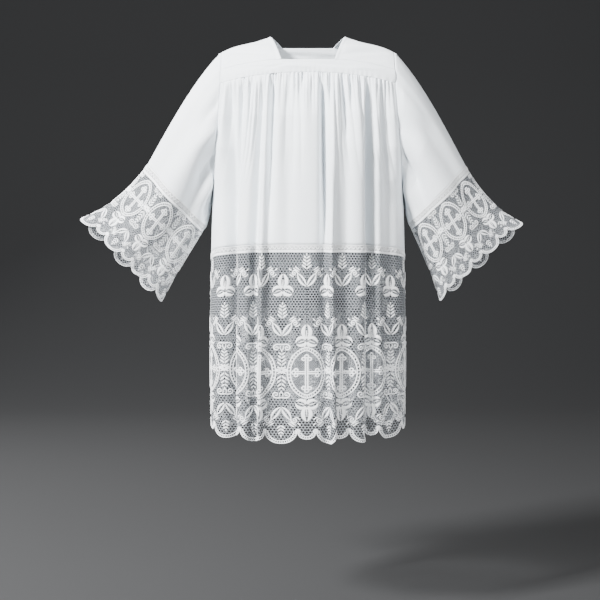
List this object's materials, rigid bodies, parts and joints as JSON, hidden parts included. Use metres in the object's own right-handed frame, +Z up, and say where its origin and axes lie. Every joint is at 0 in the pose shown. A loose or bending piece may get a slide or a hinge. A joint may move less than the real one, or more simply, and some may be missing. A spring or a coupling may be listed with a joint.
{
  "type": "surplice",
  "caption": "White cotton surplice with a square neck, a yoke, a gathered body and wide sleeves, with a deep net lace skirt and flared lace cuffs",
  "frame": {"origin": "the middle of the shoulder line, between the two neck ends, where the wearer's shoulders hold the garment", "axes": "+X to the viewer's right seen from the front, along the spread of the sleeves; the front faces -Y; +Z up"},
  "size_m": [1.149, 0.3949, 1.0118],
  "materials": {
    "cotton": "smooth white cotton lawn, matte with a faint sheen",
    "lace": "white cotton net lace with raised corded motifs, matte"
  },
  "bodies": {
    "root": {"front_yoke_band": "cotton", "back_yoke_band": "cotton", "shoulder_yoke_left": "cotton", "shoulder_yoke_right": "cotton", "front_body": "cotton", "back_body": "cotton", "sleeve_left": "cotton", "sleeve_right": "cotton", "hem_insertion_front": "lace", "hem_insertion_back": "lace", "hem_lace_front": "lace", "hem_lace_back": "lace", "cuff_insertion_left": "lace", "cuff_insertion_right": "lace", "cuff_lace_left": "lace", "cuff_lace_right": "lace"}
  },
  "joints": []
}
